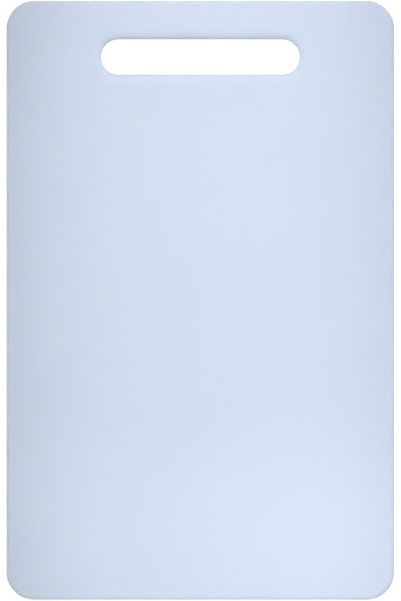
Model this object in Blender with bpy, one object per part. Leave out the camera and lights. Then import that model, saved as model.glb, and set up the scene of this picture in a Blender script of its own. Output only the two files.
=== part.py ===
"""A plastic cutting board: one moulded slab with round corners, rounded rims and a hand slot.

The board lies flat. X runs across its width, Y along its length with the hand slot at the +Y
end, and Z up through its thickness. The origin is the middle of the underside. Sizes are metres.
"""

import math

import bmesh
import bpy

# The slab
BOARD_WIDTH = 0.2794
BOARD_LENGTH = 0.4318
BOARD_THICKNESS = 0.008
CORNER_RADIUS = 0.020

# The hand slot, which goes right through and has half-round ends
SLOT_LENGTH = 0.1436
SLOT_HEIGHT = 0.0257
GRIP_WIDTH = 0.0274  # plastic between the slot and the +Y edge, at half thickness

# The rims: a quarter round from each face, with a narrow flat land between them at half
# thickness. The outline's are circular, and the slot's are elliptical and softer to the hand.
RIM_DEPTH = 0.0035
RIM_RUN = 0.0035
SLOT_RIM_RUN = 0.0075
NARROWEST_LAND = 0.0004  # what a thin board keeps, whose rims are then less deep

# How finely the rounds are faceted
CORNER_STEPS = 16  # in a quarter turn of the outline or of the slot's ends
RIM_STEPS = 6  # in each quarter round of a rim

# The plastic
PLASTIC_COLOUR = (0.67, 0.75, 0.89, 1.0)
PLASTIC_ROUGHNESS = 0.4
SHARPEST_SMOOTH_ANGLE = math.radians(30)


def clear_scene():
    """Empties the scene that the script starts in."""
    for obj in list(bpy.data.objects):
        bpy.data.objects.remove(obj, do_unlink=True)


def board_corner_centres():
    """The centres of the outline's four corner arcs, anticlockwise from the +X -Y corner."""
    x = BOARD_WIDTH / 2 - CORNER_RADIUS
    y = BOARD_LENGTH / 2 - CORNER_RADIUS
    return [(x, -y), (x, y), (-x, y), (-x, -y)]


def slot_end_centres():
    """The centres of the slot's two end arcs, anticlockwise from the +X end."""
    x = (SLOT_LENGTH - SLOT_HEIGHT) / 2
    y = BOARD_LENGTH / 2 - GRIP_WIDTH - SLOT_HEIGHT / 2
    return [(x, y), (-x, y)]


def outline_points(centres, radius):
    """Points anticlockwise round a shape whose corners are equal arcs about these centres.

    The arcs make one full turn between them and start facing -Y, so the same centres with
    another radius give the shape's outline offset by the difference.
    """
    sweep = math.tau / len(centres)
    steps = round(CORNER_STEPS * sweep / (math.pi / 2))
    points = []
    for index, (x, y) in enumerate(centres):
        for step in range(steps + 1):
            angle = -math.pi / 2 + sweep * (index + step / steps)
            points.append((x + radius * math.cos(angle), y + radius * math.sin(angle)))
    return points


def rim_profile(run):
    """A rim from the underside up: pairs of how far it has curved in, and its height.

    run is how far it curves in on its way from the land to a face.
    """
    depth = min(RIM_DEPTH, (BOARD_THICKNESS - NARROWEST_LAND) / 2)
    profile = []
    for lean_start, middle in ((-math.pi / 2, depth), (0.0, BOARD_THICKNESS - depth)):
        for step in range(RIM_STEPS + 1):
            lean = lean_start + math.pi / 2 * step / RIM_STEPS
            profile.append((run * (1 - math.cos(lean)), middle + depth * math.sin(lean)))
    return profile


def add_ring(mesh, points, height):
    """Adds a closed loop of edges through these points and returns its edges."""
    corners = [mesh.verts.new((x, y, height)) for x, y in points]
    return [mesh.edges.new((a, b)) for a, b in zip(corners, corners[1:] + corners[:1])]


def add_wall(mesh, centres, radius, run, inset_sign):
    """Adds a wall with its rims and returns its lowest and its highest ring.

    run is how far its rims curve in. inset_sign is -1 where they curve towards the centres, as
    they do on the outline, and +1 where they curve away from them, as they do round the slot.
    """
    rings = [
        add_ring(mesh, outline_points(centres, radius + inset_sign * inset), height)
        for inset, height in rim_profile(run)
    ]
    for lower, upper in zip(rings, rings[1:]):
        bmesh.ops.bridge_loops(mesh, edges=lower + upper)
    return rings[0], rings[-1]


def board_mesh():
    """The slab: the outer wall, the slot's wall and the two flat faces between them."""
    mesh = bmesh.new()
    outer_rings = add_wall(mesh, board_corner_centres(), CORNER_RADIUS, RIM_RUN, -1)
    slot_rings = add_wall(mesh, slot_end_centres(), SLOT_HEIGHT / 2, SLOT_RIM_RUN, +1)
    for outer, slot in zip(outer_rings, slot_rings):
        bmesh.ops.triangle_fill(mesh, edges=outer + slot, use_beauty=True)
    bmesh.ops.recalc_face_normals(mesh, faces=mesh.faces)
    data = bpy.data.meshes.new("board")
    mesh.to_mesh(data)
    mesh.free()
    data.shade_smooth()
    data.set_sharp_from_angle(angle=SHARPEST_SMOOTH_ANGLE)
    return data


def plastic():
    """Milky pale blue polyethylene with a satin surface."""
    material = bpy.data.materials.new("polyethylene")
    material.use_nodes = True
    shader = material.node_tree.nodes["Principled BSDF"]
    shader.inputs["Base Color"].default_value = PLASTIC_COLOUR
    shader.inputs["Roughness"].default_value = PLASTIC_ROUGHNESS
    shader.inputs["Metallic"].default_value = 0.0
    return material


def build_board():
    """Makes the board as one object, lying on the plane Z = 0."""
    board = bpy.data.objects.new("board", board_mesh())
    board.data.materials.append(plastic())
    bpy.context.scene.collection.objects.link(board)
    return board


clear_scene()
build_board()
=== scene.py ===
"""Looks of a plastic cutting board: the moulded slab, its milky plastic and the studio round it.

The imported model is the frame. The slab takes its outer size and its place from it, lies flat
with its length along Y and its hand slot at the +Y end, and all lengths are metres.
"""

import logging
import math
from dataclasses import dataclass
from enum import Enum

import bmesh
import bpy
from bmesh.types import BMEdge, BMesh, BMVert
from bpy.types import Material, Node, NodeSocket, NodeTree, Object
from mathutils import Matrix, Vector


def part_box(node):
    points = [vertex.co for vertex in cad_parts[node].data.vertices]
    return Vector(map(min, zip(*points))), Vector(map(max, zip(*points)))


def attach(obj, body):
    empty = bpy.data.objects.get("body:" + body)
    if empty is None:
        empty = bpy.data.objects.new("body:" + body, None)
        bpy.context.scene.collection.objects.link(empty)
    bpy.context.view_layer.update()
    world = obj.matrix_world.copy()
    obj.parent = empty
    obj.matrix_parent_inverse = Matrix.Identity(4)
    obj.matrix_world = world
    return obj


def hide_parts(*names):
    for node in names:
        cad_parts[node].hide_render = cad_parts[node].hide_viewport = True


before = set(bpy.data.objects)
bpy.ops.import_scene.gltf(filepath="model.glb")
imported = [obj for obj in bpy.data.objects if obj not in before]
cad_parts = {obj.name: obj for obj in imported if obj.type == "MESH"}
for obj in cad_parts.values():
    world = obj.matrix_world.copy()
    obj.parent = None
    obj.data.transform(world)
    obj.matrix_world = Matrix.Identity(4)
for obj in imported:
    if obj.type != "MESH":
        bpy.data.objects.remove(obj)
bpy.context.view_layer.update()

LOG = logging.getLogger("cutting_board")
MERGE_DISTANCE = 1e-6
MILLIMETRES_PER_METRE = 1000.0

Colour = tuple[float, float, float]
Plan = tuple[float, float]

WHITE: Colour = (1.0, 1.0, 1.0)
ORIGIN = Vector((0.0, 0.0, 0.0))
DOWN = Vector((0.0, 0.0, -1.0))


class WallFacing(Enum):
    """Which way a rim's wall faces where its sweep starts, as a sign along Y."""

    OUTLINE = -1
    HOLE = 1


class LampFace(Enum):
    """The outline of a lamp's lit face, by Blender's name for it."""

    SQUARE_CUT = "RECTANGLE"
    OVAL = "ELLIPSE"


def only(kind: type, geometry: list) -> list:
    """Picks the elements of one kind from what a mesh operator returns.

    Args:
        kind: BMVert, BMEdge or BMFace.
        geometry: The operator's elements, of every kind.

    Returns:
        The elements of that kind, in their order.
    """
    return [element for element in geometry if isinstance(element, kind)]


def corners_of(chain: list[BMEdge]) -> list[BMVert]:
    """The vertices of a chain of edges, each of them once and in their order."""
    return [*dict.fromkeys(corner for edge in chain for corner in edge.verts)]


def opaque(colour: Colour) -> tuple[float, float, float, float]:
    """A colour with the full alpha that a colour socket wants."""
    return (*colour, 1.0)


def put_in_scene(name: str, mesh: BMesh, material: Material) -> Object:
    """Puts a finished mesh into the scene, at the origin.

    Args:
        name: The object's name, and its mesh's.
        mesh: The finished mesh, which is used up.
        material: What it is dressed in.

    Returns:
        The object.
    """
    data = bpy.data.meshes.new(name)
    mesh.to_mesh(data)
    mesh.free()
    data.materials.append(material)
    made = bpy.data.objects.new(name, data)
    bpy.context.scene.collection.objects.link(made)
    return made


@dataclass(frozen=True)
class Rim:
    """A moulded rim's cross-section: a quarter round from each face and a land between them.

    Each round drops by its depth over its run, so a run longer than the depth is a softer,
    elliptical one.
    """

    thickness: float
    run: float
    depth: float = 0.0035
    round_steps: int = 16
    flat_strip: float = 0.0004

    def add_section(self, mesh: BMesh, wall: Vector, facing: WallFacing) -> list[BMEdge]:
        """Adds the cross-section as a chain of edges in a plane of constant X.

        It runs from a narrow strip of the top face, over the rim, to the same strip of the
        underside. The strips keep the flat faces' shading flat.

        Args:
            mesh: The mesh that the chain is added to. All its other edges have faces.
            wall: A point on the wall. Its height makes no difference.
            facing: Which way the wall faces.

        Returns:
            The chain's edges.
        """
        inwards = -facing.value
        turn = inwards * math.pi / 2
        stretch = self.run / self.depth
        strip = Vector((0.0, inwards * self.flat_strip / stretch, 0.0))
        upper = Vector((wall.x, wall.y + inwards * self.depth, self.thickness - self.depth))
        lower = Vector((upper.x, upper.y, self.depth))
        first = mesh.verts.new(Vector((upper.x, upper.y, self.thickness)) + strip)
        tip = self._draw(mesh, first, -strip)
        tip = self._round(mesh, tip, upper, turn)
        tip = self._draw(mesh, tip, lower - upper)
        tip = self._round(mesh, tip, lower, turn)
        self._draw(mesh, tip, strip)
        chain = [edge for edge in mesh.edges if not edge.link_faces]
        bmesh.ops.scale(
            mesh,
            verts=corners_of(chain),
            vec=(1.0, stretch, 1.0),
            space=Matrix.Translation(-wall),
        )
        return chain

    def _draw(self, mesh: BMesh, tip: BMVert, move: Vector) -> BMVert:
        """Draws a straight edge from the chain's tip.

        Args:
            mesh: The mesh that holds the chain.
            tip: The chain's last vertex.
            move: From the tip to the new one.

        Returns:
            The new tip.
        """
        made = bmesh.ops.extrude_vert_indiv(mesh, verts=[tip])["verts"]
        bmesh.ops.translate(mesh, verts=made, vec=move)
        return made[0]

    def _round(self, mesh: BMesh, tip: BMVert, centre: Vector, turn: float) -> BMVert:
        """Draws a quarter round from the chain's tip.

        Args:
            mesh: The mesh that holds the chain.
            tip: The chain's last vertex.
            centre: The round's centre.
            turn: The angle about X.

        Returns:
            The new tip.
        """
        made = bmesh.ops.spin(
            mesh, geom=[tip], cent=centre, axis=(1, 0, 0), angle=turn, steps=self.round_steps
        )["geom_last"]
        return only(BMVert, made)[0]


@dataclass(frozen=True)
class RoundedLoop:
    """A closed wall of equal arcs about its centres, with straight runs between them."""

    centres: tuple[Plan, ...]
    radius: float
    facing: WallFacing
    steps_per_turn: int = 96

    def sweep(self, mesh: BMesh, rim: Rim) -> None:
        """Sweeps the rim's cross-section once round the loop.

        Args:
            mesh: The mesh that the wall is added to.
            rim: The cross-section.
        """
        turn = math.tau / len(self.centres)
        steps = round(self.steps_per_turn / len(self.centres))
        wall = Vector((*self.centres[0], 0.0)) - Vector((0.0, self.radius, 0.0))
        chain = rim.add_section(mesh, wall, self.facing)
        next_centres = self.centres[1:] + self.centres[:1]
        for here, there in zip(self.centres, next_centres):
            swept = bmesh.ops.spin(
                mesh,
                geom=[*corners_of(chain), *chain],
                cent=(*here, 0.0),
                axis=(0, 0, 1),
                angle=turn,
                steps=steps,
            )["geom_last"]
            pulled = bmesh.ops.extrude_edge_only(mesh, edges=only(BMEdge, swept))["geom"]
            moved = only(BMVert, pulled)
            straight = Vector((*there, 0.0)) - Vector((*here, 0.0))
            bmesh.ops.translate(mesh, verts=moved, vec=straight)
            chain = [edge for edge in only(BMEdge, pulled) if set(edge.verts) <= set(moved)]
        bmesh.ops.remove_doubles(mesh, verts=mesh.verts, dist=MERGE_DISTANCE)


@dataclass(frozen=True)
class Pattern:
    """A noise pattern in the plastic, read in the board's own coordinates."""

    length: float
    finer_layers: float

    def add(self, tree: NodeTree, place: NodeSocket) -> NodeSocket:
        """Adds the pattern to a material.

        Args:
            tree: The material's nodes.
            place: The coordinates that it reads.

        Returns:
            The pattern, from 0 to 1 about a middle of 0.5.
        """
        noise = tree.nodes.new("ShaderNodeTexNoise")
        noise.inputs["Scale"].default_value = 1.0 / self.length
        noise.inputs["Detail"].default_value = self.finer_layers
        tree.links.new(place, noise.inputs["Vector"])
        return noise.outputs["Fac"]


@dataclass(frozen=True)
class Polyethylene:
    """Milky pale blue plastic with a satin skin, faint clouds in it and a fine moulded grain."""

    name: str = "milky_polyethylene"
    colour: Colour = (0.658, 0.735, 0.858)
    clouds: Pattern = Pattern(length=0.070, finer_layers=3.0)
    cloud_share: float = 0.012
    mottle: Pattern = Pattern(length=0.007, finer_layers=2.0)
    mottle_share: float = 0.006
    roughness: float = 0.50
    roughness_spread: float = 0.05
    grain: Pattern = Pattern(length=0.0009, finer_layers=1.0)
    grain_height: float = 0.000006
    refraction: float = 1.51
    scatter_weight: float = 1.0
    scatter_depth: float = 0.0018
    scatter_reach: Colour = (1.0, 0.9, 0.8)

    def material(self) -> Material:
        """Builds the plastic as a node material.

        Returns:
            The material.
        """
        made = bpy.data.materials.new(self.name)
        made.use_nodes = True
        tree = made.node_tree
        shader = tree.nodes["Principled BSDF"]
        shader.inputs["IOR"].default_value = self.refraction
        shader.inputs["Subsurface Weight"].default_value = self.scatter_weight
        shader.inputs["Subsurface Radius"].default_value = self.scatter_reach
        shader.inputs["Subsurface Scale"].default_value = self.scatter_depth
        place = tree.nodes.new("ShaderNodeTexCoord").outputs["Object"]
        mottle = self.mottle.add(tree, place)
        self._link_colour(tree, shader, self.clouds.add(tree, place), mottle)
        satin = self._around(tree, mottle, self.roughness, self.roughness_spread)
        tree.links.new(satin, shader.inputs["Roughness"])
        self._link_grain(tree, shader, self.grain.add(tree, place))
        return made

    def _around(
        self, tree: NodeTree, pattern: NodeSocket, middle: float, spread: float
    ) -> NodeSocket:
        """Scales a pattern to values about a middle.

        Args:
            tree: The material's nodes.
            pattern: The pattern, from 0 to 1.
            middle: The value that 0.5 becomes.
            spread: How far 0 and 1 come to lie from the middle.

        Returns:
            The scaled pattern.
        """
        scaled = tree.nodes.new("ShaderNodeMapRange")
        scaled.inputs["To Min"].default_value = middle - spread
        scaled.inputs["To Max"].default_value = middle + spread
        tree.links.new(pattern, scaled.inputs["Value"])
        return scaled.outputs["Result"]

    def _brightened(self, share: float) -> Colour:
        """The plastic's colour, brighter by a share of itself."""
        red, green, blue = (part * (1.0 + share) for part in self.colour)
        return red, green, blue

    def _link_colour(
        self, tree: NodeTree, shader: Node, clouds: NodeSocket, mottle: NodeSocket
    ) -> None:
        """Varies the plastic's colour a little, by clouds and by a finer mottle.

        Args:
            tree: The material's nodes.
            shader: The Principled BSDF.
            clouds: The pattern of the clouds.
            mottle: The pattern of the mottle.
        """
        cloudy = tree.nodes.new("ShaderNodeMix")
        cloudy.data_type = "RGBA"
        cloudy.blend_type = "MIX"
        cloudy.inputs["A"].default_value = opaque(self._brightened(-self.cloud_share))
        cloudy.inputs["B"].default_value = opaque(self._brightened(self.cloud_share))
        tree.links.new(clouds, cloudy.inputs["Factor"])
        mottled = tree.nodes.new("ShaderNodeVectorMath")
        mottled.operation = "SCALE"
        tree.links.new(cloudy.outputs["Result"], mottled.inputs["Vector"])
        flecks = self._around(tree, mottle, middle=1.0, spread=self.mottle_share)
        tree.links.new(flecks, mottled.inputs["Scale"])
        tree.links.new(mottled.outputs["Vector"], shader.inputs["Base Color"])

    def _link_grain(self, tree: NodeTree, shader: Node, grain: NodeSocket) -> None:
        """Gives the skin its fine moulded grain.

        Args:
            tree: The material's nodes.
            shader: The Principled BSDF.
            grain: The pattern of the grain.
        """
        bump = tree.nodes.new("ShaderNodeBump")
        bump.inputs["Distance"].default_value = self.grain_height
        tree.links.new(grain, bump.inputs["Height"])
        tree.links.new(bump.outputs["Normal"], shader.inputs["Normal"])


@dataclass(frozen=True)
class Slab:
    """The board itself: one moulded slab with round corners, a rounded rim and a hand slot."""

    low: Vector
    high: Vector
    finish: Polyethylene
    name: str = "moulded_slab"
    corner_radius: float = 0.020
    rim_run: float = 0.0035
    slot_length: float = 0.1436
    slot_height: float = 0.0257
    slot_rim_run: float = 0.0075
    grip_width: float = 0.0274

    def _outline(self) -> RoundedLoop:
        """Lays out the board's outline.

        Returns:
            The outline, anticlockwise from its +X -Y corner.
        """
        right, left = self.high.x - self.corner_radius, self.low.x + self.corner_radius
        far, near = self.high.y - self.corner_radius, self.low.y + self.corner_radius
        centres = ((right, near), (right, far), (left, far), (left, near))
        return RoundedLoop(centres, self.corner_radius, WallFacing.OUTLINE)

    def _slot(self) -> RoundedLoop:
        """Lays out the hand slot, whose ends are half rounds.

        Returns:
            The slot, anticlockwise from its +X end.
        """
        radius = self.slot_height / 2
        reach = self.slot_length / 2 - radius
        middle = (self.low.x + self.high.x) / 2
        line = self.high.y - self.grip_width - radius
        centres = ((middle + reach, line), (middle - reach, line))
        return RoundedLoop(centres, radius, WallFacing.HOLE)

    def _fill_face(self, mesh: BMesh, level: float) -> None:
        """Closes the flat face between the outline's rim and the slot's.

        Args:
            mesh: The mesh that holds both rims.
            level: The face's height.
        """
        rims = [
            edge
            for edge in mesh.edges
            if edge.is_boundary
            and all(abs(corner.co.z - level) < MERGE_DISTANCE for corner in edge.verts)
        ]
        bmesh.ops.triangle_fill(mesh, edges=rims, use_beauty=True)

    def _seat(self, mesh: BMesh) -> None:
        """Fits the mesh to the CAD box, which takes up the sweeps' rounding errors.

        Args:
            mesh: The finished slab.
        """
        lowest, highest = (
            Vector([pick(corner.co[axis] for corner in mesh.verts) for axis in range(3)])
            for pick in (min, max)
        )
        wanted, made = self.high - self.low, highest - lowest
        bmesh.ops.translate(mesh, verts=mesh.verts, vec=self.low - lowest)
        bmesh.ops.scale(
            mesh,
            verts=mesh.verts,
            vec=[want / got for want, got in zip(wanted, made)],
            space=Matrix.Translation(-self.low),
        )

    def build(self) -> Object:
        """Models the slab and dresses it.

        Returns:
            The slab, which stands for the CAD node and rides on the root body.
        """
        thickness = self.high.z - self.low.z
        mesh = bmesh.new()
        self._outline().sweep(mesh, Rim(thickness, self.rim_run))
        self._slot().sweep(mesh, Rim(thickness, self.slot_rim_run))
        self._fill_face(mesh, thickness)
        self._fill_face(mesh, 0.0)
        self._seat(mesh)
        bmesh.ops.recalc_face_normals(mesh, faces=mesh.faces)
        slab = put_in_scene(self.name, mesh, self.finish.material())
        slab.data.shade_smooth()
        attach(slab, "root")
        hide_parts("board")
        return slab


@dataclass(frozen=True)
class Backdrop:
    """A white floor and a white world, which both show as plain white, also in reflections.

    Near the board the floor keeps a little of its own shade, so that the board's shadow shows.
    It fades out away from the board's sides, to the white of the world. board_corner is the
    highest corner of the board's box, whose middle is over the origin.
    """

    board_corner: Vector
    floor_size: float = 8.0
    gap_below: float = 0.0002
    floor_colour: Colour = (0.62, 0.62, 0.62)
    shown_shade: Colour = (0.20, 0.20, 0.20)
    shown_near: float = 0.87
    shown_far: float = 1.0
    fade_length: float = 0.06

    def _seen_directly(self, tree: NodeTree) -> NodeSocket:
        """Adds a test for rays that show the backdrop.

        Args:
            tree: The nodes that it is added to.

        Returns:
            1 for a camera, glossy or transmission ray, otherwise 0.
        """
        path = tree.nodes.new("ShaderNodeLightPath")
        seen = path.outputs["Is Camera Ray"]
        for name in ("Is Glossy Ray", "Is Transmission Ray"):
            either = tree.nodes.new("ShaderNodeMath")
            either.operation = "MAXIMUM"
            tree.links.new(seen, either.inputs[0])
            tree.links.new(path.outputs[name], either.inputs[1])
            seen = either.outputs[0]
        return seen

    def _distance_from_board(self, tree: NodeTree) -> NodeSocket:
        """Adds a measure of how far a point of the floor is from the board's sides.

        Args:
            tree: The floor's nodes.

        Returns:
            The distance from the board's box, which is 0 under the board.
        """
        place = tree.nodes.new("ShaderNodeTexCoord").outputs["Object"]
        for operation, other in (
            ("ABSOLUTE", ORIGIN),
            ("SUBTRACT", self.board_corner),
            ("MAXIMUM", ORIGIN),
        ):
            step = tree.nodes.new("ShaderNodeVectorMath")
            step.operation = operation
            step.inputs[1].default_value = other
            tree.links.new(place, step.inputs[0])
            place = step.outputs["Vector"]
        distance = tree.nodes.new("ShaderNodeVectorMath")
        distance.operation = "LENGTH"
        tree.links.new(place, distance.inputs[0])
        return distance.outputs["Value"]

    def _white_level(self, tree: NodeTree) -> NodeSocket:
        """Adds the floor's own white, which rises with the distance from the board's sides.

        Args:
            tree: The floor's nodes.

        Returns:
            The strength of the white.
        """
        level = tree.nodes.new("ShaderNodeMapRange")
        level.interpolation_type = "SMOOTHSTEP"
        level.inputs["From Max"].default_value = self.fade_length
        level.inputs["To Min"].default_value = self.shown_near
        level.inputs["To Max"].default_value = self.shown_far
        tree.links.new(self._distance_from_board(tree), level.inputs["Value"])
        return level.outputs["Result"]

    def _floor_material(self) -> Material:
        """Builds the floor's material: plain white to the camera, with the board's shadow on it.

        Returns:
            The material.
        """
        made = bpy.data.materials.new("pale_floor")
        made.use_nodes = True
        tree = made.node_tree
        tree.nodes.remove(tree.nodes["Principled BSDF"])
        lit = tree.nodes.new("ShaderNodeBsdfDiffuse")
        lit.inputs["Color"].default_value = opaque(self.floor_colour)
        shade = tree.nodes.new("ShaderNodeBsdfDiffuse")
        shade.inputs["Color"].default_value = opaque(self.shown_shade)
        glow = tree.nodes.new("ShaderNodeEmission")
        tree.links.new(self._white_level(tree), glow.inputs["Strength"])
        shown = tree.nodes.new("ShaderNodeAddShader")
        tree.links.new(shade.outputs["BSDF"], shown.inputs[0])
        tree.links.new(glow.outputs["Emission"], shown.inputs[1])
        choice = tree.nodes.new("ShaderNodeMixShader")
        tree.links.new(self._seen_directly(tree), choice.inputs["Fac"])
        tree.links.new(lit.outputs["BSDF"], choice.inputs[1])
        tree.links.new(shown.outputs["Shader"], choice.inputs[2])
        surface = tree.nodes["Material Output"].inputs["Surface"]
        tree.links.new(choice.outputs["Shader"], surface)
        return made

    def _set_world(self) -> None:
        """Sets a world that shows as white, also in reflections, and gives no other light."""
        world = bpy.data.worlds.new("white_studio")
        bpy.context.scene.world = world
        world.use_nodes = True
        sky = world.node_tree.nodes["Background"]
        sky.inputs["Color"].default_value = opaque(WHITE)
        seen = self._seen_directly(world.node_tree)
        world.node_tree.links.new(seen, sky.inputs["Strength"])

    def build(self) -> Object:
        """Makes the floor and sets the world.

        Returns:
            The floor.
        """
        self._set_world()
        mesh = bmesh.new()
        bmesh.ops.create_grid(mesh, x_segments=1, y_segments=1, size=self.floor_size / 2)
        bmesh.ops.translate(mesh, verts=mesh.verts, vec=(0.0, 0.0, -self.gap_below))
        floor = put_in_scene("floor", mesh, self._floor_material())
        return floor


@dataclass(frozen=True)
class SoftBox:
    """A studio lamp. Neither the camera nor a reflection sees it, only the white backdrop.

    A lamp with no aim faces straight down. grid_degrees is the angle that its beam is cut to,
    and 180 leaves it uncut.
    """

    name: str
    place: Vector
    width: float
    length: float
    watts: float
    aim: Vector | None = None
    grid_degrees: float = 180.0
    face: LampFace = LampFace.SQUARE_CUT

    def _facing(self) -> Vector:
        """The direction that the lamp faces."""
        return DOWN if self.aim is None else self.aim - self.place

    def build(self) -> Object:
        """Makes the lamp.

        Returns:
            The lamp, turned to its aim with its length along Y as far as that goes.
        """
        light = bpy.data.lights.new(self.name, "AREA")
        light.shape = self.face.value
        light.size = self.width
        light.size_y = self.length
        light.energy = self.watts
        light.spread = math.radians(self.grid_degrees)
        lamp = bpy.data.objects.new(self.name, light)
        turn = self._facing().to_track_quat("-Z", "Y")
        lamp.matrix_world = Matrix.LocRotScale(self.place, turn, None)
        lamp.visible_camera = False
        lamp.visible_glossy = False
        bpy.context.scene.collection.objects.link(lamp)
        return lamp


@dataclass(frozen=True)
class Camera:
    """A camera straight above the board, with the photograph's framing."""

    distance: float = 1.40
    frame_height: float = 0.4337
    frame_centre: Plan = (0.00014, -0.00013)
    sensor: float = 0.036

    def build(self, level: float) -> Object:
        """Makes the camera and sets it as the scene's.

        Args:
            level: The height of the plane that frame_height is measured in.

        Returns:
            The camera.
        """
        data = bpy.data.cameras.new("above")
        data.sensor_width = self.sensor * MILLIMETRES_PER_METRE
        data.lens = data.sensor_width * self.distance / self.frame_height
        camera = bpy.data.objects.new("above", data)
        camera.location = (*self.frame_centre, level + self.distance)
        bpy.context.scene.collection.objects.link(camera)
        bpy.context.scene.camera = camera
        return camera


def soft_boxes() -> list[SoftBox]:
    """Lays out the studio's lamps.

    The oval and the strip overhead light the face, most of all along its middle. The far panel
    and the side panels light the rims that face them, and the near card does the same for the
    near end. The low spot and the low strip brighten the near part of the face, the spot at its
    right corner and the strip with a soft step across it.

    Returns:
        The lamps.
    """
    return [
        SoftBox(
            "overhead_oval",
            place=Vector((0.009, -0.02, 0.19)),
            width=0.39,
            length=1.03,
            watts=0.805,
            grid_degrees=80.0,
            face=LampFace.OVAL,
        ),
        SoftBox(
            "overhead_strip",
            place=Vector((0.044, 0.062, 0.69)),
            width=0.175,
            length=0.5,
            watts=0.065,
            grid_degrees=42.0,
        ),
        SoftBox(
            "far_panel",
            place=Vector((0.2, 1.5, 0.55)),
            aim=ORIGIN,
            width=1.4,
            length=0.4,
            watts=5.3,
        ),
        SoftBox(
            "left_panel",
            place=Vector((-1.2, 0.2, 0.15)),
            aim=ORIGIN,
            width=1.0,
            length=0.3,
            watts=3.7,
        ),
        SoftBox(
            "right_panel",
            place=Vector((1.2, 0.2, 0.15)),
            aim=ORIGIN,
            width=1.0,
            length=0.3,
            watts=3.0,
        ),
        SoftBox(
            "near_card",
            place=Vector((-0.05, -0.28, 0.03)),
            aim=Vector((-0.05, -0.12, 0.0)),
            width=0.4,
            length=0.05,
            watts=0.026,
        ),
        SoftBox(
            "low_spot",
            place=Vector((0.15, -0.215, 0.335)),
            width=0.053,
            length=0.16,
            watts=0.018,
            grid_degrees=62.0,
        ),
        SoftBox(
            "low_strip",
            place=Vector((0.0, -0.166, 0.23)),
            width=0.48,
            length=0.105,
            watts=0.0115,
            grid_degrees=33.0,
        ),
    ]


def main() -> None:
    """Builds the board and its studio."""
    low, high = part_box("board")
    slab = Slab(low, high, Polyethylene()).build()
    LOG.info("%s: %d faces", slab.name, len(slab.data.polygons))
    floor = Backdrop(high).build()
    LOG.info("%s: %.1f m wide", floor.name, floor.dimensions.x)
    for box in soft_boxes():
        lamp = box.build()
        LOG.info("%s: %.3g W", lamp.name, lamp.data.energy)
    camera = Camera().build((low.z + high.z) / 2)
    LOG.info("camera %s: %.1f mm lens", camera.name, camera.data.lens)
    bpy.context.scene.view_settings.view_transform = "Standard"


if __name__ == "__main__":
    logging.basicConfig(level=logging.INFO, format="%(message)s")
    main()
